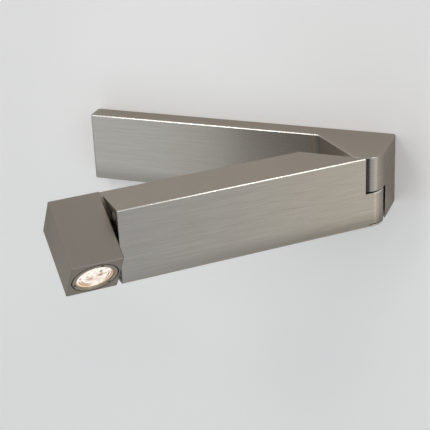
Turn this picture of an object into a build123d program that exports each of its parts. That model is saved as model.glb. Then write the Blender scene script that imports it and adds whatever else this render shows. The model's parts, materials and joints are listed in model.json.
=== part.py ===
from build123d import *
import math
import os

# Adjustable wall lamp: a base on the wall, an arm that swings on an upright hinge, a head that turns on it.
# Millimetres. +Z is up, the wall is the plane Y = 0 and the lamp stands out from it towards -Y.
# The origin is on the wall at the middle of the base. Everything is drawn in the pose of the photograph.

# Main sizes
base_length = 201.0      # base along the wall
height = 45.0            # base, arm and head alike
plate_depth = 12.0       # base from the wall to its front
arm_depth = 30.0         # arm and head, front to back
arm_reach = 161.0        # hinge axis to the arm's free end
head_length = 30.0       # head along the arm
head_gap = 1.5           # between arm and head
knuckle_r = 12.0         # base's round nose, and the arm's front from the hinge axis
low_r = 11.4             # arm's lower knuckle
fold_gap = 1.0           # between base and arm when folded
swing_rest = 43.5        # arm opened from the wall, degrees
turn_rest = 55.0         # head turned from light straight down, degrees

# Walls, edges and clearances
cover_wall = 2.5
arm_wall = 2.0
edge_r = 1.0
end_r = 1.3              # upright front edge at the base's left end
seam = 1.0               # between the two knuckles
swing_clear = 0.45       # arm's mitre past the upper knuckle
wedge_gap = 1.8          # mitre to the base's slope when folded
recess_clear = 0.5       # base's recess past the nose's radius
corner_r = 1.5           # inner corner at the foot of the slope
nose_blend = 2.0         # nose into the slope
back_bevel = 1.3         # base's upright edges at the wall
running_clear = 0.04     # radial, on the two bearings
neck_step = 0.65         # lower knuckle's neck past the base's slope
low_in = 0.3             # lower knuckle's middle, inside the hinge axis
tip_blunt = 0.3          # flat that blunts the arm's mitre
past = 5.0               # cutters run past a face by this

# Hinge and pivot
pin_r = 5.0
pin_bore_r = 3.0
pivot_r = 5.0
pivot_bore_r = 3.0
cap_t = 1.8
cap_seam = 0.7           # open joint above the cap's rim
cap_edge = 0.5
nut_t = 3.0
pin_up = 10.0            # pin's grip in the base's knuckle
bush_wall = 1.6
bush_short = 0.3         # bushes end this far inside their housings
tab_clear = 0.7          # stop tab to the arm's walls
stop_bite = 0.6          # stop tab past the middle of the stop pin
stop_r = 1.25
hub_clear = 0.95         # stop pin to the hub

# Wall bracket
bracket_t = 1.5
slot_spacing = 120.0
slot_length = 12.0
slot_r = 2.5
cable_r = 5.0

# Derived positions
half_h = height / 2
half_l = base_length / 2
hinge_out = plate_depth + fold_gap + arm_depth - knuckle_r
hinge_x = half_l - knuckle_r
axis_y = arm_depth / 2 - knuckle_r
mitre = knuckle_r + swing_clear
wedge = mitre - wedge_gap
low_mitre = wedge + neck_step
low_x = -low_in
low_y = low_r - knuckle_r
root2 = math.sqrt(2.0)
half_seam = seam / 2

arm_at = Location((hinge_x, -hinge_out, 0), (0, 0, swing_rest))
head_at = arm_at * Location((0, axis_y, 0), (-turn_rest, 0, 0))


def box(x0, x1, y0, y1, z0, z1):
    return Pos((x0 + x1) / 2, (y0 + y1) / 2, (z0 + z1) / 2) * Box(x1 - x0, y1 - y0, z1 - z0)


def rod(r, z0, z1, x=0.0, y=0.0):
    return Pos(x, y, (z0 + z1) / 2) * Cylinder(r, z1 - z0)


def rod_x(r, x0, x1, y=0.0, z=0.0):
    return Pos((x0 + x1) / 2, y, z) * Rot(0, 90, 0) * Cylinder(r, x1 - x0)


def rod_y(r, y0, y1, x=0.0, z=0.0):
    return Pos(x, (y0 + y1) / 2, z) * Rot(90, 0, 0) * Cylinder(r, y1 - y0)


def prism(points, z0, z1):
    return Pos(0, 0, z0) * extrude(Polygon(*points, align=None), z1 - z0, dir=(0, 0, 1))


def hexagon(r, z0, z1):
    return Pos(0, 0, z0) * extrude(RegularPolygon(r, 6), z1 - z0)


def across(shape):
    """Turns a shape drawn along Z so that its +Z runs along +X."""
    return Rot(0, 90, 0) * shape


def cone_washer(r_in, r_out, t, rise):
    """Conical spring washer standing on Z = 0, rise + t tall."""
    outline = Polyline((r_in, rise), (r_out, 0), (r_out, t), (r_in, rise + t), (r_in, rise))
    return revolve(Plane.XZ * make_face(outline), Axis.Z)


def slotted_screw(r, length, head_r, head_t, slot_w):
    """Screw with a cylindrical head, its seat at Z = 0 and its shank along -Z."""
    body = rod(r, -length, 0.01) + rod(head_r, 0, head_t)
    return body - box(-head_r - 1, head_r + 1, -slot_w / 2, slot_w / 2, head_t * 0.5, head_t + 1)


def sunk_screw(r, length, head_r):
    """Countersunk cross-head screw, its face at Z = 0 and its shank along -Z."""
    sink = head_r - r
    body = rod(r, -length, -sink) + Pos(0, 0, -sink / 2) * Cone(r, head_r, sink)
    arm = head_r * 0.55
    cross = box(-arm, arm, -0.25, 0.25, -0.6, 1) + box(-0.25, 0.25, -arm, arm, -0.6, 1)
    return body - cross


pieces = {}


def keep(name, shape, at=None):
    pieces[name] = shape if at is None else shape.moved(at)


# Base cover
nose_end = math.radians(225) + math.acos(wedge / knuckle_r)
slope_top = (hinge_x + knuckle_r * math.cos(nose_end), -hinge_out + knuckle_r * math.sin(nose_end))
slope_foot = (hinge_x + plate_depth - hinge_out - wedge * root2, -plate_depth)


def cover_outline():
    nose_mid = (nose_end + math.radians(360)) / 2
    side = (half_l, -hinge_out)
    on_nose = (hinge_x + knuckle_r * math.cos(nose_mid), -hinge_out + knuckle_r * math.sin(nose_mid))
    lines = [
        Line((-half_l, 0), (half_l, 0)),
        Line((half_l, 0), side),
        ThreePointArc(side, on_nose, slope_top),
        Line(slope_top, slope_foot),
        Line(slope_foot, (-half_l, -plate_depth)),
        Line((-half_l, -plate_depth), (-half_l, 0)),
    ]
    return make_face(lines)


def upright(shape, place):
    """The upright edge of a shape that is nearest to a place on the plan."""
    return shape.edges().filter_by(Axis.Z).sort_by_distance(Vertex(*place, 0))[0]


cover = Pos(0, 0, -half_h) * extrude(cover_outline(), height)
cover = fillet(upright(cover, (-half_l, -plate_depth)), end_r)
cover = fillet(upright(cover, slope_foot), corner_r)
cover = fillet(upright(cover, slope_top), nose_blend)
rim = cover.edges().filter_by(lambda e: abs(abs(e.center().Z) - half_h) < 0.01 and e.center().Y < -0.01)
cover = fillet(rim, edge_r)
for side in (-1, 1):
    bevel = [
        (side * (half_l - back_bevel - past), past),
        (side * (half_l + past), past),
        (side * (half_l + past), -back_bevel - past),
    ]
    cover -= prism(bevel, -half_h - past, half_h + past)

recess_r = knuckle_r + recess_clear
cover -= rod(recess_r, -half_h - 1, half_seam, hinge_x, -hinge_out)

front_skin = 2.2
cavity_front = -(plate_depth - front_skin)
inner_h = half_h - cover_wall
cover -= box(-half_l + cover_wall, half_l - cover_wall, cavity_front, 1, -inner_h, inner_h)

# The block is hollow behind the lower knuckle and, above, as far as the top of the pin.
block_front = -hinge_out + recess_r + cover_wall
slope_in = -wedge * root2 + cover_wall * root2
block_right = half_l - cover_wall
reach_in = block_front + 0.01
behind = [
    (hinge_x + slope_in - (cavity_front + 1 + hinge_out), cavity_front + 1),
    (block_right, cavity_front + 1),
    (block_right, block_front),
    (hinge_x + slope_in - (block_front + hinge_out), block_front),
]
if block_front < cavity_front:
    cover -= prism(behind, -inner_h, inner_h)
pin_top = half_seam + pin_up
nose_r = knuckle_r - cover_wall
over = [(hinge_x + slope_in - (reach_in + hinge_out), reach_in), (block_right, reach_in)]
for i in range(7):
    a = math.radians(90) * i / 6
    over.append((hinge_x + nose_r * math.cos(a), -hinge_out - nose_r * math.sin(a)))
over.append((hinge_x + slope_in + nose_r, -hinge_out - nose_r))
cover -= prism(over, pin_top, inner_h)
cover -= rod(pin_r, half_seam - 1, pin_top + 1, hinge_x, -hinge_out)

# Set screw behind the pin.
lock_z = (half_seam + pin_top) / 2
lock_r = 2.0
lock_end = -hinge_out + pin_r
cover -= rod_y(lock_r, -hinge_out, block_front + 1, hinge_x, lock_z)

# Bosses and screw holes that take the bracket's tabs.
bracket_in = 8.0
bracket_x = half_l - cover_wall - bracket_in
tab_inset = 22.0
tab_x = bracket_x - tab_inset
tab_boss = 2.0
tab_out = inner_h - tab_boss
tab_w = 14.0
tab_y = (cavity_front - bracket_t) / 2
screw_r = 2.0
cover_head_r = 3.5
cover_grip = 2.0
driver_slot = 0.9
head_sink = 2.0
for x in (-tab_x, tab_x):
    for side in (-1, 1):
        z_in, z_out = side * tab_out, side * (inner_h + 0.5)
        z_low, z_high = min(z_in, z_out), max(z_in, z_out)
        cover += box(x - tab_w / 2, x + tab_w / 2, cavity_front - 0.5, -bracket_t - 0.6, z_low, z_high)
    cover -= rod(screw_r + 0.2, -half_h - 1, -tab_out + 1, x, tab_y)
    cover -= rod(cover_head_r + 0.3, -half_h - 1, -half_h + head_sink, x, tab_y)
keep("base_cover", cover)

# Wall bracket
bracket_z = tab_out
bracket = box(-bracket_x, bracket_x, -bracket_t, 0, -bracket_z, bracket_z)
for x in (-slot_spacing / 2, slot_spacing / 2):
    slot_end = slot_length / 2 - slot_r
    slot = rod_y(slot_r, -past, past, x - slot_end) + rod_y(slot_r, -past, past, x + slot_end)
    slot += box(x - slot_end, x + slot_end, -past, past, -slot_r, slot_r)
    bracket -= slot
grommet_wall = 3.0
grommet_r = cable_r + grommet_wall
bracket -= rod_y(grommet_r, -past, past)
for x in (-tab_x, tab_x):
    for side in (-1, 1):
        z_a, z_b = side * bracket_z, side * (bracket_z - bracket_t)
        z_low, z_high = min(z_a, z_b), max(z_a, z_b)
        bracket += box(x - tab_w / 2, x + tab_w / 2, cavity_front + 0.8, -bracket_t + 0.01, z_low, z_high)
    bracket -= rod(screw_r, -bracket_z - 1, -bracket_z + bracket_t + 1, x, tab_y)
block_l = 28.0
pole = 9.0
fixing_r = 1.5
block_in = 4.0
terminal_x = grommet_r + block_in + block_l / 2
earth_in = 16.0
earth_r = 2.0
earth_x = -grommet_r - earth_in
for dx in (-pole / 2, pole / 2):
    bracket -= rod_y(fixing_r, -past, past, terminal_x + dx)
bracket -= rod_y(earth_r, -past, past, earth_x)
keep("wall_bracket", bracket)

cover_screw_l = half_h - tab_out - head_sink + bracket_t + cover_grip
cover_screw = slotted_screw(screw_r, cover_screw_l, cover_head_r, head_sink - 0.3, driver_slot)
cover_screw = Pos(0, 0, -half_h + head_sink) * Rot(180, 0, 0) * cover_screw
keep("cover_screws", Compound([Pos(x, tab_y, 0) * cover_screw for x in (-tab_x, tab_x)]))

grommet_lip = 2.5
grommet_t = 1.5
grommet = rod_y(grommet_r, -bracket_t, 0)
grommet += rod_y(grommet_r + grommet_lip, -bracket_t - grommet_t, -bracket_t)
grommet -= rod_y(cable_r, -bracket_t - past, past)
keep("cable_grommet", grommet)

# Terminal block and earth point on the bracket
block_gap = 0.8
block_t = plate_depth - front_skin - bracket_t - block_gap
block_h = 16.0
block_face = -bracket_t - block_t
block = box(-block_l / 2, block_l / 2, block_face, -bracket_t, -block_h / 2, block_h / 2)
well_r = 1.9
well_d = 3.4
well_floor = block_face + well_d
entry_w = 3.4
entry_t = 2.8
clamp_in = 3.2
clamp_z = block_h / 2 - clamp_in
wells = []
for i in (-1, 0, 1):
    entry_x = i * pole
    left, right = entry_x - entry_w / 2, entry_x + entry_w / 2
    block -= box(left, right, well_floor, well_floor + entry_t, -block_h, block_h)
    for z in (-clamp_z, clamp_z):
        block -= rod_y(well_r, block_face - 1, well_floor + 0.1, entry_x, z)
        wells.append((entry_x, z))
fixing_head = 2.2
fixing_head_t = 1.8
fixing_slot = 0.6
seat = block_face + well_d
for dx in (-pole / 2, pole / 2):
    block -= rod_y(fixing_r, block_face - 1, 0, dx)
    block -= rod_y(fixing_head, block_face - 1, seat, dx)
keep("terminal_block", Pos(terminal_x, 0, 0) * block)
towards_wall = Rot(90, 0, 0)
clamp_t = 2.0
clamp_slot = 0.5
clamp = rod(well_r, 0, clamp_t)
clamp -= box(-well_r, well_r, -clamp_slot / 2, clamp_slot / 2, clamp_t - 0.8, clamp_t + 1)
clamp = Pos(0, well_floor, 0) * towards_wall * clamp
keep("terminal_clamp_screws", Compound([Pos(terminal_x + x, 0, z) * clamp for x, z in wells]))
fixing = Pos(0, seat, 0) * towards_wall * slotted_screw(
    fixing_r, -seat - 0.2, fixing_head, fixing_head_t, fixing_slot)
fixings = [Pos(terminal_x + dx, 0, 0) * fixing for dx in (-pole / 2, pole / 2)]
keep("terminal_fixing_screws", Compound(fixings))
earth_washer_r = 4.6
earth_washer_t = 0.8
earth_seat = -bracket_t - earth_washer_t
washer = rod_y(earth_washer_r, earth_seat, -bracket_t) - rod_y(earth_r, earth_seat - past, past)
keep("earth_washer", Pos(earth_x, 0, 0) * washer)
earth_head_r = 3.7
earth_head_t = 2.4
earth = slotted_screw(earth_r, -earth_seat - 0.1, earth_head_r, earth_head_t, driver_slot)
keep("earth_screw", Pos(earth_x, earth_seat, 0) * towards_wall * earth)

# Hinge pin and the stack under the arm's knuckle, drawn on the hinge axis
hinge_at = Location((hinge_x, -hinge_out, 0))
pocket_wall = 2.5
plug_l = 1.8
flat_t = 1.0
cone_t = 0.8
cone_rise = 0.6
pin_short = 0.5
pin_past_nut = 0.4
pocket_r = knuckle_r - pocket_wall
cap_z = -half_h + cap_t
plug_z = cap_z + plug_l
cone_h = cone_t + cone_rise
stack_t = flat_t + cone_h + nut_t
pin_end = plug_z + pin_short
nut_z = pin_end + pin_past_nut
pocket_z = nut_z + stack_t
keep("hinge_pin", rod(pin_r, pin_end, pin_top) - rod(pin_bore_r, pin_end - 1, pin_top + 1), hinge_at)
lock_l = 7.0
key_r = 1.1
key_d = 2.0
lock = rod_y(lock_r, lock_end, lock_end + lock_l, hinge_x, lock_z)
key = extrude(RegularPolygon(key_r, 6), key_d, both=True)
lock -= Pos(hinge_x, lock_end + lock_l, lock_z) * Rot(90, 0, 0) * key
keep("hinge_lock_screw", lock)
slack = 0.2
washer_in = 1.5
washer_r = knuckle_r - washer_in
thrust = rod(washer_r, -half_seam, half_seam) - rod(pin_r + slack, -past, past)
keep("thrust_washer", thrust, hinge_at)
flat_z = pocket_z - flat_t
flat = rod(pocket_r - 0.5, flat_z, pocket_z) - rod(pin_r + slack, flat_z - past, pocket_z + past)
keep("hinge_friction_washer", flat, hinge_at)
cone_in = 1.0
spring = Pos(0, 0, flat_z - cone_h) * cone_washer(pin_r + slack, pocket_r - cone_in, cone_t, cone_rise)
keep("hinge_spring_washer", spring, hinge_at)
nut_in = 0.9
nut = hexagon(pocket_r - nut_in, nut_z, nut_z + nut_t) - rod(pin_r, nut_z - 1, nut_z + nut_t + 1)
keep("hinge_nut", nut, hinge_at)

# Arm shell, drawn folded: X runs from the free end to the hinge axis, -Y is the front.
front = -knuckle_r
back = arm_depth - knuckle_r
knuckle_top = -half_seam


def mitred(distance, y):
    return -distance * root2 - y


bar = Pos(0, axis_y, 0) * extrude(Plane.YZ * RectangleRounded(arm_depth, height, edge_r), -arm_reach)
tip_x = mitred(mitre, front) - tip_blunt
upper = [
    (-arm_reach - 1, front - 1),
    (tip_x, front - 1),
    (tip_x, -mitre * root2 - tip_x),
    (mitred(mitre, back + 1), back + 1),
    (-arm_reach - 1, back + 1),
]
neck_far = low_mitre + (low_x + low_y) / root2
neck_end = math.sqrt(low_r ** 2 - neck_far ** 2)
neck_x = low_x - (neck_far + neck_end) / root2
neck_y = low_y - (neck_far - neck_end) / root2
lower = [
    (-arm_reach - 1, front - 1),
    (low_x, front - 1),
    (low_x, low_y),
    (neck_x, neck_y),
    (mitred(low_mitre, back + 1), back + 1),
    (-arm_reach - 1, back + 1),
]
arm = bar & (prism(upper, knuckle_top, half_h + 1) + prism(lower, -half_h - 1, knuckle_top))
knuckle_bevel = 0.5
knuckle = rod(low_r, -half_h, knuckle_top, low_x, low_y)
knuckle = chamfer(knuckle.edges().group_by(Axis.Z)[-1], knuckle_bevel)
arm += knuckle
mitre_wall = 2.5
hollow = [
    (-arm_reach - 1, front + arm_wall),
    (mitred(mitre + mitre_wall, front + arm_wall), front + arm_wall),
    (mitred(mitre + mitre_wall, back - arm_wall), back - arm_wall),
    (-arm_reach - 1, back - arm_wall),
]
hollow_h = half_h - arm_wall
arm -= prism(hollow, -hollow_h, hollow_h)

# Bosses for the end plate's screws.
plate_t = 3.0
plate_sunk = 0.3
plate_out = -arm_reach + plate_sunk
plate_in = plate_out + plate_t
boss_l = 10.0
boss_floor = 2.0
boss_r = 3.2
boss_in = 7.0
boss_down = 6.2
thread_r = 1.25
boss_y = arm_depth / 2 - boss_in
boss_z = half_h - boss_down
for y in (axis_y - boss_y, axis_y + boss_y):
    for side in (-1, 1):
        z_a, z_b = side * (boss_z - boss_r + 0.2), side * (hollow_h + 0.5)
        arm += box(plate_in, plate_in + boss_l, y - boss_r, y + boss_r, min(z_a, z_b), max(z_a, z_b))
        arm -= rod_x(thread_r, plate_in - 1, plate_in + boss_l - boss_floor, y, side * boss_z)

# Knuckle bore, nut pocket, seat of the cap and the wire way through the neck.
bush_r = pin_r + bush_wall
arm -= rod(bush_r, pocket_z - 1, knuckle_top + 1)
arm -= rod(pocket_r, -half_h - 1, pocket_z)
cap_seat = 0.2
cap_lip = 0.6
arm -= rod(low_r + cap_seat, -half_h - 1, cap_z, low_x, low_y)
arm -= box(low_x, knuckle_r + 1, front - 1, low_y, -half_h - 1, cap_z)
way_r = 1.5
way_wall = 0.9
way_up = 1.5
way_y = neck_y - way_r - way_wall
way_z = pin_end + way_up
way_start = -math.sqrt(pocket_r ** 2 - way_y ** 2) + 0.5
arm -= rod_x(way_r, mitred(mitre + mitre_wall + 1, way_y - way_r), way_start, way_y, way_z)
keep("arm_shell", arm, arm_at)

bush = rod(bush_r, pocket_z + bush_short, knuckle_top - bush_short)
bush -= rod(pin_r + running_clear, pocket_z - 1, knuckle_top + 1)
keep("hinge_bush", bush, arm_at)
cap = rod(low_r, -half_h, cap_z - cap_seam, low_x, low_y)
cap = chamfer(cap.edges().group_by(Axis.Z)[0], cap_edge)
cap = chamfer(cap.edges().group_by(Axis.Z)[-1], cap_edge / 2)
cap += rod(pocket_r + cap_lip, cap_z - cap_seam - 0.2, cap_z)
plug_wall = 1.6
cap += rod(pocket_r, cap_z - 0.5, plug_z) - rod(pocket_r - plug_wall, cap_z - 0.1, plug_z + 1)
keep("hinge_cap", cap, arm_at)

# Arm end plate with the pivot's bearing, screws and stop pin, drawn about the head's axis
pivot_at = arm_at * Location((0, axis_y, 0))
tab_end = arm_depth / 2 - arm_wall - tab_clear
stop_at = tab_end - stop_bite
hub_r = stop_at - stop_r - hub_clear
hub_l = 5.0
hub_in = plate_in + hub_l
pivot_bush_r = pivot_r + bush_wall
fit = 0.1
plate_y = arm_depth / 2 - arm_wall - fit
plate_z = hollow_h - fit
plate = box(plate_out, plate_in, -plate_y, plate_y, -plate_z, plate_z)
plate += rod_x(hub_r, plate_in - 0.5, hub_in)
plate -= rod_x(pivot_bush_r, plate_out - 1, hub_in + 1)
stop_out = 1.4
stop_floor = 1.0
stop_in = hub_in + stop_out
plate -= rod_x(stop_r, plate_out + stop_floor, plate_in + 1, 0, stop_at)
screw_head = 2.5
screw_sink = screw_head - thread_r
plate_screw_l = 9.5
plate_screws = []
for y in (-boss_y, boss_y):
    for z in (-boss_z, boss_z):
        plate -= rod_x(thread_r, plate_out - 1, plate_in + 1, y, z)
        plate -= Pos(plate_out + screw_sink / 2, y, z) * across(Cone(screw_head, thread_r, screw_sink))
        plate_screw = sunk_screw(thread_r, plate_screw_l, screw_head)
        plate_screws.append(Pos(plate_out, y, z) * Rot(0, -90, 0) * plate_screw)
keep("arm_end_plate", plate, pivot_at)
keep("end_plate_screws", Compound(plate_screws), pivot_at)
bearing = rod_x(pivot_bush_r, plate_out + bush_short, hub_in - bush_short)
bearing -= rod_x(pivot_r + running_clear, plate_out - 1, hub_in + 1)
keep("pivot_bush", bearing, pivot_at)
keep("stop_pin", rod_x(stop_r, plate_out + stop_floor, stop_in, 0, stop_at), pivot_at)

# Driver on a pad against the arm's back wall
pad_t = 1.0
driver_in = 16.0
driver_back = 8.0
driver_far = hub_in + driver_in
driver_near = mitred(mitre + mitre_wall, back - arm_wall) - driver_back
driver_room = 5.0
driver_h = hollow_h - driver_room
driver_t = arm_depth - 2 * arm_wall - pad_t - driver_room
pad_y = back - arm_wall
pad_in = 4.0
pad_h = driver_h - pad_in
pad = box(driver_far + pad_in, driver_near - pad_in, pad_y - pad_t, pad_y, -pad_h, pad_h)
keep("driver_pad", pad, arm_at)
driver = box(driver_far, driver_near, pad_y - pad_t - driver_t, pad_y - pad_t, -driver_h, driver_h)
driver_edge = 1.5
driver = fillet(driver.edges().filter_by(Axis.X), driver_edge)
lead_w = 5.0
lead_d = 1.5
lead_y = pad_y - pad_t - driver_t / 2
for x in (driver_far, driver_near):
    driver -= Pos(x, lead_y, 0) * Box(2 * lead_d, lead_w, lead_w)
keep("led_driver", driver, arm_at)

# Head, drawn with its light straight down and its turning axis along X
near = -arm_reach - head_gap
far = near - head_length
lamp_x = (near + far) / 2
below = -half_h
head_wall = 1.3
bore_r = min(arm_depth, head_length) / 2 - head_wall
lamp_depth = 16.0
lamp_step = 4.7
roof = 4.0
shoulder = below + lamp_depth
inner_r = bore_r - lamp_step
shell = box(far, near, -arm_depth / 2, arm_depth / 2, -half_h, half_h)
head_edge = 0.7
head_bevel = 0.5
shell = fillet(shell.edges().filter_by(Axis.X), head_edge)
ends = shell.faces().sort_by(Axis.X)
shell = chamfer(ends[0].edges() + ends[-1].edges(), head_bevel)
shell -= rod(bore_r, below - 1, shoulder, lamp_x)
shell -= rod(inner_r, shoulder - 1, half_h - roof, lamp_x)
shell -= rod_x(pivot_r, lamp_x, near + 1)
keep("head_shell", shell, head_at)

# Pivot and its stack
stop_t = 1.0
stop_w = 3.0
pivot_past = 0.6
pivot_in = lamp_x + inner_r + pivot_past
spring_x = hub_in + stop_t
pivot_nut_x = spring_x + cone_h
pivot_end = pivot_nut_x + nut_t + pivot_past
pivot = rod_x(pivot_r, pivot_in, pivot_end) - rod_x(pivot_bore_r, pivot_in - 1, pivot_end + 1)
keep("head_pivot", pivot, head_at)
spacer_rim = 5.0
spacer = rod_x(pivot_r + spacer_rim, near, plate_out) - rod_x(pivot_r, near - 1, plate_out + 1)
keep("pivot_spacer", spacer, head_at)
stopper = rod_x(hub_r - 0.6, hub_in, spring_x)
stopper += box(hub_in, spring_x, -stop_w / 2, stop_w / 2, -tab_end, 0)
stopper -= rod_x(pivot_r, hub_in - 1, spring_x + 1)
keep("stop_washer", stopper, head_at)
pivot_cone_in = 1.2
pivot_spring = across(cone_washer(pivot_r + slack, hub_r - pivot_cone_in, cone_t, cone_rise))
keep("pivot_spring_washer", Pos(spring_x, 0, 0) * pivot_spring, head_at)
pivot_nut_in = 0.5
pivot_nut = across(hexagon(hub_r - pivot_nut_in, pivot_nut_x, pivot_nut_x + nut_t))
pivot_nut -= rod_x(pivot_r, pivot_nut_x - 1, pivot_end + 1)
keep("pivot_nut", pivot_nut, head_at)

# Light source and optic, drawn on the lamp's axis
light_at = head_at * Location((lamp_x, 0, 0))
spreader_t = 3.5
board_t = 1.6
board_in = 0.8
bezel_w = 2.8
wire_r = 1.6
wire_in = 3.6
board_screw_r = 1.0
board_screw_in = 2.2
board_head_r = 1.7
board_head_t = 1.1
board_slot = 0.4
board_grip = 4.0
thread_floor = 0.8
spread_z = shoulder - spreader_t
board_z = spread_z - board_t
board_r = bore_r - board_in
lens_r = bore_r - bezel_w
wire_y = bore_r - wire_in
screw_pitch = lens_r - board_screw_in
spreader = rod(bore_r, spread_z, shoulder) - rod(wire_r, spread_z - 1, shoulder + 1, 0, wire_y)
board = rod(board_r, board_z, spread_z) - rod(wire_r, board_z - 1, spread_z + 1, 0, wire_y)
board_screw = slotted_screw(board_screw_r, board_grip, board_head_r, board_head_t, board_slot)
board_screws = []
for x in (-screw_pitch, screw_pitch):
    spreader -= rod(board_screw_r, spread_z - 1, shoulder - thread_floor, x)
    board -= rod(board_screw_r, board_z - 1, spread_z + 1, x)
    board_screws.append(Pos(x, 0, board_z) * Rot(180, 0, 0) * board_screw)
keep("heat_spreader", spreader, light_at)
keep("led_board", board, light_at)
keep("led_board_screws", Compound(board_screws), light_at)
emitter_half = 2.6
emitter_t = 0.8
dome_r = 1.9
dome_t = 0.3
emitter = box(-emitter_half, emitter_half, -emitter_half, emitter_half, board_z - emitter_t, board_z)
emitter += rod(dome_r, board_z - emitter_t - dome_t, board_z - emitter_t / 2)
keep("led_emitter", emitter, light_at)
lens_sunk = 1.0
flange_t = 1.2
flange_w = 1.3
flange_z = below + lens_sunk
flange_r = lens_r + flange_w
lens_top = board_z - emitter_t - dome_t - 0.1
lens_back_r = 5.0
cup_r = 3.2
cup_d = 1.6
lens_l = lens_top - flange_z - flange_t
lens = rod(flange_r, flange_z, flange_z + flange_t)
lens_step = 0.6
lens += Pos(0, 0, lens_top - lens_l / 2) * Cone(lens_r - lens_step, lens_back_r, lens_l)
lens -= rod(cup_r, lens_top - cup_d, lens_top + 1)
keep("lens", lens, light_at)
holder = rod(board_r, flange_z + flange_t, board_z) - rod(lens_r + 0.1, flange_z, board_z + 1)
keep("lens_holder", holder, light_at)
groove_w = 0.65
groove_d = 1.6
bezel = rod(bore_r, below + groove_d, flange_z + flange_t) + rod(bore_r - groove_w, below, below + groove_d)
bezel -= rod(lens_r, below - past, flange_z + past)
bezel -= rod(flange_r, flange_z, flange_z + past)
notch_w = 1.7
notch_across = 1.2
notch_d = 0.75
notch_at = 0.5 * (lens_r + bore_r - groove_w)
for angle in (103, 221, 340):
    a = math.radians(angle)
    notch = box(-notch_w / 2, notch_w / 2, -notch_across / 2, notch_across / 2, below - 1, below + notch_d)
    bezel -= Pos(-notch_at * math.cos(a), -notch_at * math.sin(a), 0) * Rot(0, 0, angle + 90) * notch
keep("bezel", bezel, light_at)

os.makedirs("parts", exist_ok=True)
for name, shape in pieces.items():
    export_step(shape, "parts/" + name + ".step")
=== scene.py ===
import json
import math

import bpy
from mathutils import Matrix, Vector

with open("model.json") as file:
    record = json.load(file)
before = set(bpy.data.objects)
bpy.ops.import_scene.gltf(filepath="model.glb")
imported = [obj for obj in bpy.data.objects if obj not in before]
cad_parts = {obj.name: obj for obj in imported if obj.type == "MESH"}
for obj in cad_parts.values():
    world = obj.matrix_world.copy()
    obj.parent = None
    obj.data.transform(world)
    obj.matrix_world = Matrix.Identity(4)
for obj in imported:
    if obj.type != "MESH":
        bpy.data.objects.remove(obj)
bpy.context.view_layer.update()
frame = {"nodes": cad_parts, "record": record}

# Looks of the adjustable wall lamp. Metres, +Z up. The wall is the plane Y = 0, and the lamp stands out
# towards -Y.

nodes = frame["nodes"]

# Where the arm, the head and the light are drawn, as in the part
HINGE = Vector((0.0885, -0.031, 0.0))
SWING = math.radians(43.5)
TURN = math.radians(55.0)
AXIS_Y = 0.003
HALF_HEIGHT = 0.0225
SLOPE_FOOT = (0.0545, -0.012)
LAMP_X = -0.1775

# The lens and the bezel, seen from the light
LENS_R = 0.0109
BEZEL_Z = -0.0225
BEZEL_OUT = 0.0130
JOINT_OUT = 0.0140
JOINT_DEPTH = 0.0016

arm_matrix = Matrix.Translation(HINGE) @ Matrix.Rotation(SWING, 4, "Z")
head_matrix = arm_matrix @ Matrix.Translation((0, AXIS_Y, 0)) @ Matrix.Rotation(-TURN, 4, "X")
light_matrix = head_matrix @ Matrix.Translation((LAMP_X, 0, 0))


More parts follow.
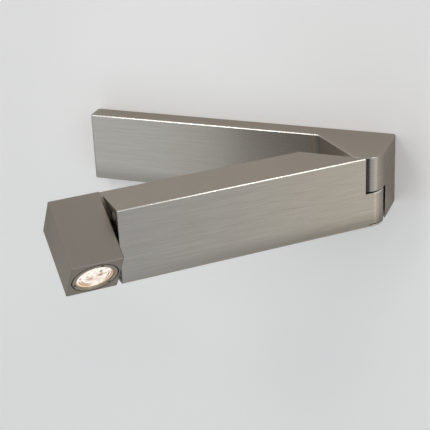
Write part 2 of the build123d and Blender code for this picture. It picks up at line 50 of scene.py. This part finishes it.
# Node helpers
class Tree:
    """A node tree, with short calls for the nodes used here."""

    def __init__(self, owner, out="ShaderNodeOutputMaterial"):
        owner.use_nodes = True
        self.nodes = owner.node_tree.nodes
        self.links = owner.node_tree.links
        self.nodes.clear()
        self.out = self.nodes.new(out)

    def add(self, kind, **settings):
        node = self.nodes.new(kind)
        for key, value in settings.items():
            setattr(node, key, value)
        return node

    def put(self, value, socket):
        if isinstance(value, bpy.types.NodeSocket):
            self.links.new(value, socket)
        else:
            socket.default_value = value

    def math(self, operation, a, b=0.0):
        node = self.add("ShaderNodeMath", operation=operation)
        self.put(a, node.inputs[0])
        self.put(b, node.inputs[1])
        return node.outputs[0]

    def plus(self, a, b):
        return self.math("ADD", a, b)

    def minus(self, a, b):
        return self.math("SUBTRACT", a, b)

    def times(self, first, *others):
        """The product of all the values."""
        for other in others:
            first = self.math("MULTIPLY", first, other)
        return first

    def reach(self, a, b):
        """The length of a vector with these two parts."""
        return self.math("SQRT", self.plus(self.times(a, a), self.times(b, b)))

    def mix(self, factor, a, b, blend="MIX"):
        node = self.add("ShaderNodeMix", data_type="RGBA", blend_type=blend)
        self.put(factor, node.inputs["Factor"])
        self.put(a, node.inputs[6])
        self.put(b, node.inputs[7])
        return node.outputs[2]

    def coords(self, turn=0.0, scale=(1, 1, 1)):
        """The piece's own coordinates, turned about Z and then stretched."""
        source = self.add("ShaderNodeTexCoord")
        spin = self.add("ShaderNodeMapping", vector_type="POINT")
        spin.inputs["Rotation"].default_value = (0, 0, turn)
        self.links.new(source.outputs["Object"], spin.inputs["Vector"])
        stretch = self.add("ShaderNodeMapping", vector_type="POINT")
        stretch.inputs["Scale"].default_value = scale
        self.links.new(spin.outputs["Vector"], stretch.inputs["Vector"])
        return stretch.outputs["Vector"]

    def split(self, vector):
        node = self.add("ShaderNodeSeparateXYZ")
        self.links.new(vector, node.inputs[0])
        return node.outputs

    def noise(self, vector, scale=1.0, detail=2.0, rough=0.5):
        node = self.add("ShaderNodeTexNoise")
        self.links.new(vector, node.inputs["Vector"])
        node.inputs["Scale"].default_value = scale
        node.inputs["Detail"].default_value = detail
        node.inputs["Roughness"].default_value = rough
        return node.outputs[0]

    def ramp(self, value, low, high, out_low=0.0, out_high=1.0, smooth=False):
        node = self.add("ShaderNodeMapRange", clamp=True)
        node.interpolation_type = "SMOOTHSTEP" if smooth else "LINEAR"
        self.put(value, node.inputs["Value"])
        node.inputs["From Min"].default_value = low
        node.inputs["From Max"].default_value = high
        node.inputs["To Min"].default_value = out_low
        node.inputs["To Max"].default_value = out_high
        return node.outputs["Result"]

    def window(self, value, start, full, fall, end, smooth=False):
        """Rises from start to full, stays at 1, and falls from fall to end."""
        rise = self.ramp(value, start, full, smooth=smooth)
        return self.times(rise, self.ramp(value, fall, end, 1.0, 0.0, smooth))

    def bump(self, height, distance, strength=1.0, normal=None):
        node = self.add("ShaderNodeBump")
        node.inputs["Strength"].default_value = strength
        node.inputs["Distance"].default_value = distance
        self.links.new(height, node.inputs["Height"])
        if normal is not None:
            self.links.new(normal, node.inputs["Normal"])
        return node.outputs["Normal"]

    def surface(self, **sockets):
        node = self.add("ShaderNodeBsdfPrincipled")
        for key, value in sockets.items():
            self.put(value, node.inputs[key.replace("_", " ")])
        self.links.new(node.outputs[0], self.out.inputs["Surface"])
        return node


def new_look(name):
    material = bpy.data.materials.new(name)
    return material, Tree(material)


def shade(colour, factor):
    return tuple(min(1.0, c * factor) for c in colour[:3]) + (1.0,)


def lamp_coords(t):
    """Coordinates seen from the light: x along the arm, y up the head's front, z along the light's axis."""
    source = t.add("ShaderNodeTexCoord")
    place = t.add("ShaderNodeMapping", vector_type="TEXTURE")
    place.inputs["Location"].default_value = light_matrix.translation
    place.inputs["Rotation"].default_value = light_matrix.to_euler()
    t.links.new(source.outputs["Object"], place.inputs["Vector"])
    return place.outputs["Vector"]


def lamp_normal(t):
    """The surface's direction in the coordinates of the light."""
    source = t.add("ShaderNodeTexCoord")
    place = t.add("ShaderNodeMapping", vector_type="NORMAL")
    place.inputs["Rotation"].default_value = light_matrix.inverted().to_euler()
    t.links.new(source.outputs["Normal"], place.inputs["Vector"])
    return place.outputs["Vector"]


# Satin nickel, brushed along the upright faces
NICKEL = (0.392, 0.352, 0.304, 1.0)
# Colour of painted shade on the head and the base
PAINTED_SHADE = shade(NICKEL, 0.1)
# Colour of the painted highlight on the upper front edges
HIGHLIGHT_TINT = (0.86, 0.84, 0.79, 1)
# Colour of the darker joint round the bezel and its key slots
RECESS_DARK = (0.012, 0.010, 0.009, 1)
# Colour of the painted shade in the inner corner
CORNER_SHADE = (0.05, 0.045, 0.04, 1)
EDGE_TINT = (0.72, 0.69, 0.65, 1.0)

# Streaks to the metre along the grain, through the face and up it
BROAD = (14, 14, 700)
MIDDLE = (60, 60, 2300)
FINE = (110, 110, 9000)
CLOUD = (24, 24, 24)
BROAD_SHARE = 0.35
FINE_SHARE = 0.25
STREAK_SWING = 0.25
EDGE_ROUND = 0.0004
STREAK_DEPTH = 0.000012


def painted_lower_shade(t, colour, turn, level, bottom_shade):
    """Painted shade on the upright faces towards their lower edge, by a share at the free end and one at the
    hinge.
    """
    at = t.split(t.coords(turn))
    low = t.ramp(at["Z"], -HALF_HEIGHT, -0.45 * HALF_HEIGHT, 1.0, 0.0, smooth=True)
    share = t.times(low, t.ramp(at["X"], -0.118, 0.0, *bottom_shade), t.ramp(level, 0.1, 0.3, 1.0, 0.0))
    return t.mix(share, colour, shade(NICKEL, 0.2))


def painted_edge_highlights(t, colour, rough, geometry, level, middle, across, corner, painted_sheen):
    """The upper front edges are lighter and smoother, a painted highlight, and the round beside the front
    face gets a painted sheen.
    """
    own = t.add("ShaderNodeTexCoord")
    front = t.add("ShaderNodeVectorMath", operation="DOT_PRODUCT")
    t.links.new(own.outputs["Normal"], front.inputs[0])
    front.inputs[1].default_value = (across[0], across[1], 0.0)
    towards = front.outputs["Value"]
    # Painted sheen on the round beside the front face
    if painted_sheen > 0:
        turned = t.window(towards, 0.90, 0.96, 0.985, 0.9995)
        turned = t.times(turned, t.ramp(level, 0.05, 0.2, 1.0, 0.0))
        gain = 1.0 + painted_sheen
        colour = t.mix(turned, colour, (gain, gain, gain, 1), "MULTIPLY")
    tilt = t.split(geometry.outputs["Normal"])["Z"]
    # Painted highlight on the upper front edges
    highlight_share = t.times(t.window(tilt, 0.10, 0.30, 0.75, 0.95), t.ramp(towards, 0.45, 0.62))
    if corner:
        # The block in front of the corner gets less of the painted highlight.
        depth = t.split(t.coords())["Y"]
        highlight_share = t.times(highlight_share, t.ramp(depth, corner[1] - 0.004, corner[1] - 0.001, 0.25, 1.0))
    highlight_share = t.times(highlight_share, t.ramp(middle, 0.25, 0.5, 0.75, 0.95))
    return t.mix(highlight_share, colour, HIGHLIGHT_TINT), t.minus(rough, t.times(highlight_share, 0.08))


def head_joint_and_shade(t, colour, rough):
    """The joint round the bezel and its key slots are darker, and the head's edges and two faces get painted
    shade.
    """
    at = t.split(lamp_coords(t))
    radius = t.reach(at["X"], at["Y"])
    # The joint round the bezel and its key slots are darkened.
    deep = t.window(at["Z"], BEZEL_Z + 0.00003, BEZEL_Z + 0.0001,
                    BEZEL_Z + JOINT_DEPTH, BEZEL_Z + JOINT_DEPTH + 0.0004)
    ring = t.window(radius, LENS_R + 0.0002, LENS_R + 0.0004, JOINT_OUT, JOINT_OUT + 0.0001)
    recess_dark = t.times(ring, deep)
    colour = t.mix(recess_dark, colour, RECESS_DARK)
    rough = t.plus(rough, t.times(recess_dark, 0.4))

    facing = t.split(lamp_normal(t))
    # The head's edges get painted shade.
    flat = t.math("MAXIMUM", t.math("ABSOLUTE", facing["X"]), t.math("ABSOLUTE", facing["Y"]))
    flat = t.math("MAXIMUM", flat, t.math("ABSOLUTE", facing["Z"]))
    colour = t.mix(t.ramp(flat, 0.99, 0.90, 0.0, 0.75), colour, shade(NICKEL, 0.72))

    # Painted shade on the end face, most away from the light, and on the face round the bezel.
    end = t.times(t.ramp(facing["X"], -0.95, -0.80, 1.0, 0.0), t.ramp(at["Z"], -0.012, 0.018, 0.30, 0.46))
    under = t.ramp(facing["Z"], -0.95, -0.80, 1.0, 0.0)
    under = t.times(under, t.ramp(radius, BEZEL_OUT, BEZEL_OUT + 0.0004, 0.08, 0.27))
    return t.mix(t.plus(end, under), colour, PAINTED_SHADE), rough


def corner_painted_shade(t, colour, geometry, level, corner):
    """Painted shade in the inner corner, on the front beside it and on the end face."""
    upright = t.ramp(level, 0.1, 0.3, 1.0, 0.0)
    at = t.split(t.coords())
    aside = t.minus(at["X"], corner[0])
    away = t.reach(aside, t.minus(at["Y"], corner[1]))
    colour = t.mix(t.times(t.ramp(away, 0.0006, 0.0016, 0.6, 0.0), upright), colour, CORNER_SHADE)
    beside = t.ramp(at["X"], -0.016, 0.022, 0.0, 0.175, smooth=True)
    beside = t.times(beside, t.ramp(aside, 0.0, 0.001, 1.0, 0.0))
    end = t.ramp(t.split(geometry.outputs["Normal"])["X"], 0.80, 0.95, 0.0, 0.14)
    return t.mix(t.times(t.plus(beside, end), upright), colour, PAINTED_SHADE)


def satin_nickel(name, turn, across, grain=1.0, brushed=0.88, rough=(0.22, 0.30), hair=0.4,
                 bottom_shade=(0.40, 0.36), corner=None, painted_sheen=0.0):
    """The grain runs level along the upright faces; across points out of the front face.

    Hair is the share of the narrow streaks. Where painted_sheen is given, the round beside the front face
    gets a painted sheen, brighter by that share. What isn't brushed is the head.
    """
    material, t = new_look(name)
    broad = t.noise(t.coords(turn, BROAD), detail=2.0)
    middle = t.noise(t.coords(turn, MIDDLE), detail=2.0)
    fine = t.noise(t.coords(turn, FINE), detail=1.0)
    cloud = t.noise(t.coords(turn, CLOUD), detail=3.0)

    # Level faces are plain satin.
    geometry = t.add("ShaderNodeNewGeometry")
    level = t.math("ABSOLUTE", t.split(geometry.outputs["True Normal"])["Z"])
    upright = t.ramp(level, 0.2, 0.8, grain, 0.15 * grain)

    streak = t.plus(t.times(broad, BROAD_SHARE), t.times(middle, hair))
    streak = t.plus(streak, t.times(fine, FINE_SHARE))
    mean = 0.5 * (BROAD_SHARE + hair + FINE_SHARE)
    swing = t.times(t.minus(streak, mean), upright)
    tone = t.ramp(swing, -STREAK_SWING, STREAK_SWING)
    colour = t.mix(tone, shade(NICKEL, 0.88), shade(NICKEL, 1.12))
    colour = t.mix(t.ramp(cloud, 0.35, 0.7, 0.0, 0.4), colour, shade(NICKEL, 0.95))
    gloss = t.ramp(swing, -STREAK_SWING, STREAK_SWING, rough[1], rough[0])

    if brushed > 0:
        # Painted shade towards the lower edge of the upright faces
        colour = painted_lower_shade(t, colour, turn, level, bottom_shade)
        # Painted highlight on the upper front edges and painted sheen beside the front face
        colour, gloss = painted_edge_highlights(t, colour, gloss, geometry, level, middle, across, corner, painted_sheen)
    else:
        # A darker bezel joint, and painted shade on the head
        colour, gloss = head_joint_and_shade(t, colour, gloss)
    if corner:
        # Painted shade in and beside the inner corner and on the end face
        colour = corner_painted_shade(t, colour, geometry, level, corner)

    bevel = t.add("ShaderNodeBevel", samples=4)
    bevel.inputs["Radius"].default_value = EDGE_ROUND
    height = t.times(t.plus(t.times(middle, 0.6), t.times(fine, 0.4)), upright)
    normal = t.bump(height, STREAK_DEPTH, 0.4, bevel.outputs[0])
    metal = t.surface(Base_Color=colour, Metallic=1.0, Roughness=gloss, Normal=normal)
    metal.inputs["Specular Tint"].default_value = EDGE_TINT
    if brushed > 0:
        # The brushing spreads a reflection upright, so the spread's direction is nearly straight up.
        spread = t.add("ShaderNodeCombineXYZ")
        spread.inputs["X"].default_value = 0.05 * across[0]
        spread.inputs["Y"].default_value = 0.05 * across[1]
        spread.inputs["Z"].default_value = 1.0
        t.links.new(spread.outputs[0], metal.inputs["Tangent"])
        metal.inputs["Anisotropic"].default_value = brushed
    return material


# Looks of the inner pieces
def plated_steel():
    material, t = new_look("zinc_steel")
    at = t.coords()
    spangle = t.add("ShaderNodeTexVoronoi")
    t.links.new(at, spangle.inputs["Vector"])
    spangle.inputs["Scale"].default_value = 420
    cloud = t.noise(at, 260, 4.0)
    tone = t.ramp(spangle.outputs["Distance"], 0.0, 0.7)
    colour = t.mix(tone, (0.56, 0.57, 0.59, 1), (0.70, 0.71, 0.72, 1))
    colour = t.mix(t.ramp(cloud, 0.45, 0.75, 0.0, 0.4), colour, (0.50, 0.49, 0.44, 1))
    rough = t.ramp(cloud, 0.3, 0.7, 0.28, 0.46)
    t.surface(Base_Color=colour, Metallic=1.0, Roughness=rough, Normal=t.bump(cloud, 0.00004, 0.5))
    return material


def plain_metal(name, dark, light, rough, scale):
    material, t = new_look(name)
    at = t.coords()
    cloud = t.noise(at, scale, 4.0)
    fine = t.noise(at, scale * 9, 2.0)
    colour = t.mix(t.ramp(cloud, 0.3, 0.7), dark, light)
    colour = t.mix(t.ramp(fine, 0.5, 0.8, 0.0, 0.35), colour, shade(dark, 0.8))
    roughness = t.ramp(fine, 0.3, 0.7, rough - 0.07, rough + 0.09)
    t.surface(Base_Color=colour, Metallic=1.0, Roughness=roughness, Normal=t.bump(fine, 0.00004, 0.4))
    return material


def plastic(name, dark, light, rough, scale, depth):
    material, t = new_look(name)
    at = t.coords()
    cloud = t.noise(at, scale * 0.1, 3.0)
    skin = t.noise(at, scale, 2.0)
    colour = t.mix(t.ramp(cloud, 0.3, 0.7), dark, light)
    roughness = t.ramp(skin, 0.3, 0.7, rough - 0.06, rough + 0.08)
    t.surface(Base_Color=colour, Metallic=0.0, Roughness=roughness, Normal=t.bump(skin, depth, 0.5))
    return material


def turned_alloy():
    """Turning marks run round the light's own axis."""
    material, t = new_look("spreader_alloy")
    wave = t.add("ShaderNodeTexWave", wave_type="RINGS", rings_direction="Z")
    t.links.new(lamp_coords(t), wave.inputs["Vector"])
    wave.inputs["Scale"].default_value = 900
    wave.inputs["Distortion"].default_value = 1.0
    rings = wave.outputs["Fac"]
    colour = t.mix(rings, (0.68, 0.68, 0.69, 1), (0.80, 0.80, 0.81, 1))
    rough = t.ramp(rings, 0, 1, 0.28, 0.42)
    t.surface(Base_Color=colour, Metallic=1.0, Roughness=rough, Normal=t.bump(rings, 0.00002, 0.5))
    return material


def circuit_board():
    material, t = new_look("board_white")
    at = t.coords()
    tracks = t.add("ShaderNodeTexVoronoi", distance="MANHATTAN")
    t.links.new(at, tracks.inputs["Vector"])
    tracks.inputs["Scale"].default_value = 260
    skin = t.noise(at, 2500, 2.0)
    gap = t.ramp(tracks.outputs["Distance"], 0.55, 0.60)
    colour = t.mix(gap, (0.88, 0.88, 0.86, 1), (0.80, 0.80, 0.77, 1))
    rough = t.ramp(skin, 0.3, 0.7, 0.34, 0.48)
    t.surface(Base_Color=colour, Roughness=rough, Normal=t.bump(skin, 0.00002, 0.5))
    return material


def phosphor():
    material, t = new_look("emitter")
    grain = t.noise(t.coords(), 3000, 3.0)
    colour = t.mix(t.ramp(grain, 0.3, 0.7), (0.95, 0.70, 0.25, 1), (1.0, 0.86, 0.50, 1))
    rough = t.ramp(grain, 0.3, 0.7, 0.35, 0.55)
    t.surface(Base_Color=colour, Roughness=rough, Emission_Color=colour, Emission_Strength=1.0)
    return material


def lit_lens():
    """Clear optic with its light on: white, a warm rim, and the marks of what stands behind it."""
    material, t = new_look("lens")
    at = lamp_coords(t)
    axes = t.split(at)
    x, y = axes["X"], axes["Y"]
    wander = t.minus(t.noise(at, 700, 3.0), 0.5)
    share = t.plus(t.math("DIVIDE", t.reach(x, y), LENS_R), t.times(wander, 0.03))

    def ring(middle, half):
        """Share of a soft ring round the lens, in parts of its radius."""
        core = 0.4 * half
        return t.window(share, middle - half, middle - core, middle + core, middle + half, smooth=True)

    def spot(cx, cy, rx, ry, tilt, soft, wobble):
        """Share of a soft oval, in millimetres on the lens."""
        c = 1000 * math.cos(math.radians(tilt))
        s = 1000 * math.sin(math.radians(tilt))
        dx = t.minus(x, 0.001 * cx)
        dy = t.minus(y, 0.001 * cy)
        along = t.plus(t.times(dx, c / rx), t.times(dy, s / rx))
        over = t.minus(t.times(dy, c / ry), t.times(dx, s / ry))
        far = t.plus(t.reach(along, over), t.times(wander, wobble))
        return t.ramp(far, 1.0 - soft, 1.0 + soft, 1.0, 0.0, smooth=True)

    white = (0.46, 0.44, 0.42, 1)
    ivory = (0.35, 0.305, 0.26, 1)
    pale = (0.33, 0.26, 0.18, 1)
    cream = (0.28, 0.185, 0.105, 1)
    pink = (0.24, 0.165, 0.125, 1)
    brown = (0.16, 0.088, 0.050, 1)
    amber = (0.13, 0.055, 0.028, 1)
    edge_brown = (0.13, 0.058, 0.025, 1)
    rust = (0.085, 0.030, 0.022, 1)
    colour = t.mix(t.ramp(wander, -0.22, 0.22), white, ivory)

    # Rings of the optic, brown at the lower left and at the right
    left = t.times(t.ramp(x, 0.0, -0.003), t.ramp(y, 0.0015, 0.0045))
    right = t.times(t.ramp(x, 0.0045, 0.0075), t.ramp(y, -0.004, -0.001))
    rings = [
        (0.79, 0.17, left, cream),
        (0.70, 0.055, left, brown),
        (0.84, 0.055, left, brown),
        (0.76, 0.060, right, brown),
        (0.895, 0.055, right, amber),
    ]
    for middle, half, side, tint in rings:
        colour = t.mix(t.times(ring(middle, half), side), colour, tint)

    # Mottling of the moulded facets
    facets = t.noise(at, 420, 2.0, 0.6)
    colour = t.mix(t.ramp(facets, 0.52, 0.66, 0.0, 0.55, smooth=True), colour, pink)

    # Marks of the parts behind it, each with its strength
    marks = [
        (spot(2.0, 3.4, 3.4, 1.8, 0, 0.7, 0.8), 0.45, cream),
        (spot(3.2, -0.8, 2.0, 1.4, -10, 0.7, 1.4), 1.0, brown),
        (spot(-2.5, 1.8, 2.1, 1.9, 25, 0.8, 1.4), 1.0, pink),
        (spot(-1.9, 1.6, 0.9, 0.9, 0, 0.8, 1.0), 0.5, brown),
        (spot(3.2, -4.6, 0.8, 1.1, 0, 0.7, 0.8), 1.0, rust),
        (spot(-4.4, -1.2, 0.6, 1.0, 0, 0.8, 0.8), 1.0, pink),
        (spot(6.3, -1.4, 0.7, 1.0, 0, 0.6, 0.5), 1.0, pink),
        (spot(-8.3, -0.3, 0.7, 1.0, 0, 0.6, 0.5), 1.0, pink),
    ]
    for mark, strength, tint in marks:
        colour = t.mix(t.times(mark, strength), colour, tint)

    # The rim is brown above and pale below.
    rim = t.mix(t.ramp(y, -0.003, 0.003), edge_brown, pale)
    colour = t.mix(t.ramp(share, 0.90, 0.95, smooth=True), colour, rim)
    optic = t.surface(Base_Color=(0.10, 0.09, 0.08, 1), Roughness=0.12, Emission_Color=colour,
                      Emission_Strength=2.3)
    optic.inputs["Specular IOR Level"].default_value = 0.35
    return material


looks = {
    "zinc_steel": plated_steel(),
    "brass": plain_metal("brass", (0.62, 0.46, 0.20, 1), (0.78, 0.60, 0.30, 1), 0.32, 300),
    "bronze": plain_metal("bronze", (0.42, 0.27, 0.13, 1), (0.56, 0.38, 0.20, 1), 0.48, 900),
    "nylon": plastic("nylon", (0.022, 0.022, 0.023, 1), (0.036, 0.036, 0.036, 1), 0.45, 2500, 0.00003),
    "rubber": plastic("rubber", (0.028, 0.028, 0.028, 1), (0.045, 0.044, 0.043, 1), 0.72, 3000, 0.00005),
    "terminal_plastic": plastic(
        "terminal_plastic", (0.72, 0.71, 0.66, 1), (0.80, 0.79, 0.75, 1), 0.40, 2200, 0.00003),
    "driver_plastic": plastic(
        "driver_plastic", (0.78, 0.78, 0.77, 1), (0.85, 0.85, 0.85, 1), 0.45, 2600, 0.00004),
    "spreader_alloy": turned_alloy(),
    "board_white": circuit_board(),
    "emitter": phosphor(),
    "lens": lit_lens(),
}
base_front = (0.0, -1.0)
arm_front = (0.688, -0.725)
nickel = {
    "base": satin_nickel("satin_nickel_base", 0.0, base_front, corner=SLOPE_FOOT),
    "arm": satin_nickel("satin_nickel_arm", -SWING, arm_front, hair=0.75, bottom_shade=(0.12, 0.50), painted_sheen=0.25),
    "head": satin_nickel("satin_nickel_head", -SWING, arm_front, grain=0.2, brushed=0.0, rough=(0.28, 0.34)),
}
body_of = {}
for body, names in frame["record"]["behaviour"]["bodies"].items():
    for name in names:
        body_of[name] = body
for part in frame["record"]["subparts"]:
    name = part["node"]
    slot = part["material_slot"]
    look = nickel[body_of[name]] if slot == "satin_nickel" else looks[slot]
    mesh = nodes[name].data
    mesh.materials.clear()
    mesh.materials.append(look)


# Wall behind the lamp, seen from the front only
def painted_wall():
    """The wall is pale to the eye and in the metal, and still takes the lamp's shadow."""
    material, t = new_look("painted_wall")
    at = t.coords()
    axes = t.split(at)
    plaster = t.noise(at, 130, 5.0, 0.6)
    # The wall is painted darker high up, a painted shade that the metal reflects.
    high = t.ramp(axes["Z"], 0.36, 0.66, 0.0, 0.76, smooth=True)
    tone = t.mix(high, (0.90, 0.885, 0.87, 1), (0.46, 0.45, 0.44, 1))
    paint = t.surface(Base_Color=tone, Roughness=0.85, Normal=t.bump(plaster, 0.0006, 0.25))
    paint.inputs["Specular IOR Level"].default_value = 0.2

    # Painted light of its own, more near the lamp, where it lightens the lamp's shadow, and at the right,
    # where the metal reflects it
    rays = t.add("ShaderNodeLightPath")
    seen = t.math("MAXIMUM", rays.outputs["Is Camera Ray"], rays.outputs["Is Glossy Ray"])
    seen = t.math("MAXIMUM", seen, rays.outputs["Is Transmission Ray"])
    near = t.ramp(t.reach(axes["X"], axes["Z"]), 0.12, 0.165, 0.17, 0.14)
    lit = t.times(t.ramp(axes["X"], 0.12, 0.28, smooth=True), t.ramp(axes["X"], 0.30, 2.0, 1.0, 0.0))
    lit = t.times(lit, t.ramp(axes["Z"], 0.05, 0.25, 0.10, 0.0, smooth=True))
    glow = t.add("ShaderNodeEmission")
    t.links.new(tone, glow.inputs["Color"])
    t.links.new(t.times(seen, t.plus(lit, near)), glow.inputs["Strength"])
    both = t.add("ShaderNodeAddShader")
    t.links.new(paint.outputs[0], both.inputs[0])
    t.links.new(glow.outputs[0], both.inputs[1])

    see_through = t.add("ShaderNodeBsdfTransparent")
    facing = t.add("ShaderNodeNewGeometry")
    either = t.add("ShaderNodeMixShader")
    t.links.new(facing.outputs["Backfacing"], either.inputs[0])
    t.links.new(both.outputs[0], either.inputs[1])
    t.links.new(see_through.outputs[0], either.inputs[2])
    t.links.new(either.outputs[0], t.out.inputs["Surface"])
    return material


WALL_HALF = 4.0
WALL_BACK = 0.0003
corners = [(-1, -1), (1, -1), (1, 1), (-1, 1)]
wall_mesh = bpy.data.meshes.new("wall")
wall_mesh.from_pydata([(WALL_HALF * x, WALL_BACK, WALL_HALF * z) for x, z in corners], [], [(0, 1, 2, 3)])
wall_mesh.materials.append(painted_wall())
wall = bpy.data.objects.new("wall", wall_mesh)
bpy.context.collection.objects.link(wall)


# Studio round the lamp: soft boxes in front at the left and the right with a dark gap between them, a plain
# room elsewhere, and a panel above each box for the bright top edges
BOXES = [  # bearing in degrees right of the front, and colour
    (-88, (0.40, 0.40, 0.41)),
    (-64, (0.82, 0.90, 0.96)),
    (-23, (1.05, 1.16, 1.25)),
    (-18, (0.34, 0.32, 0.29)),
    (-14, (0.20, 0.18, 0.15)),
    (-2, (0.14, 0.13, 0.13)),
    (10, (0.05, 0.045, 0.05)),
    (42, (0.06, 0.05, 0.06)),
    (48, (0.72, 0.77, 0.89)),
    (58, (0.78, 0.85, 0.95)),
    (65, (0.735, 0.81, 0.89)),
    (70, (0.925, 0.95, 0.94)),
    (76, (1.13, 1.14, 1.09)),
    (84, (1.28, 1.27, 1.20)),
    (106, (1.10, 1.08, 1.00)),
    (116, (0.42, 0.41, 0.40)),
]
PALE = (0.68, 0.68, 0.68, 1)


def studio():
    world = bpy.data.worlds.new("studio")
    t = Tree(world, "ShaderNodeOutputWorld")
    direction = t.add("ShaderNodeTexCoord")
    dx, dy, dz = t.split(direction.outputs["Generated"])
    bearing = t.times(t.math("ARCTAN2", dx, t.times(dy, -1.0)), 180 / math.pi)
    boxes = t.add("ShaderNodeValToRGB")
    t.links.new(t.ramp(bearing, -180, 180), boxes.inputs[0])
    elements = boxes.color_ramp.elements
    while len(elements) < len(BOXES):
        elements.new(0.5)
    for element, (degrees, colour) in zip(elements, BOXES):
        element.position = (degrees + 180) / 360
        element.color = colour + (1.0,)

    ahead = t.ramp(dy, -0.15, -0.55, smooth=True)
    floor = t.mix(ahead, (0.40, 0.40, 0.40, 1), (0.95, 0.95, 0.96, 1))
    ceiling = t.mix(ahead, (0.52, 0.51, 0.50, 1), (0.60, 0.60, 0.60, 1))
    room = t.mix(t.ramp(dz, -0.6, 0.6), floor, ceiling)
    room = t.mix(t.window(dz, -0.90, -0.68, 0.12, 0.32, smooth=True), room, boxes.outputs["Color"])
    background = t.add("ShaderNodeBackground")
    t.links.new(room, background.inputs["Color"])

    # Beyond the wall the eye sees a plain pale room.
    pale = t.add("ShaderNodeBackground")
    pale.inputs["Color"].default_value = PALE
    rays = t.add("ShaderNodeLightPath")
    choose = t.add("ShaderNodeMixShader")
    t.links.new(rays.outputs["Is Camera Ray"], choose.inputs[0])
    t.links.new(background.outputs[0], choose.inputs[1])
    t.links.new(pale.outputs[0], choose.inputs[2])
    t.links.new(choose.outputs[0], t.out.inputs["Surface"])
    return world


def panel(name, bearing, rise, far, width, tall, radiance, colour):
    """Upright panel of light at a bearing from the front and a rise above the level, both in degrees."""
    lamp = bpy.data.lights.new(name, "AREA")
    lamp.shape = "RECTANGLE"
    lamp.size = width
    lamp.size_y = tall
    lamp.energy = radiance * math.pi * width * tall
    lamp.color = colour
    holder = bpy.data.objects.new(name, lamp)
    bpy.context.collection.objects.link(holder)
    b, r = math.radians(bearing), math.radians(rise)
    towards = Vector((math.sin(b) * math.cos(r), -math.cos(b) * math.cos(r), math.sin(r)))
    holder.location = towards * far
    holder.rotation_mode = "QUATERNION"
    holder.rotation_quaternion = towards.to_track_quat("Z", "Y")


scene = bpy.context.scene
scene.world = studio()
panel("left_panel", -25, 38, 1.4, 0.36, 0.46, 4.5, (1.0, 1.0, 0.985))
panel("right_panel", 71.5, 38, 1.4, 0.36, 0.34, 4.2, (1.0, 0.97, 0.90))

# Camera from the photograph's vanishing lines
camera_data = bpy.data.cameras.new("camera")
camera_data.sensor_width = 36.0
camera_data.lens = 106.828
camera_data.clip_start = 0.01
camera = bpy.data.objects.new("camera", camera_data)
bpy.context.collection.objects.link(camera)
right = Vector((0.939318, 0.340621, -0.040735))
up = Vector((-0.105320, 0.399348, 0.910730))
behind = Vector((0.326481, -0.851174, 0.410989))
place = Matrix((right, up, behind)).transposed().to_4x4()
place.translation = (0.25703, -0.72406, 0.30358)
camera.matrix_world = place
scene.camera = camera

scene.view_settings.view_transform = "Standard"
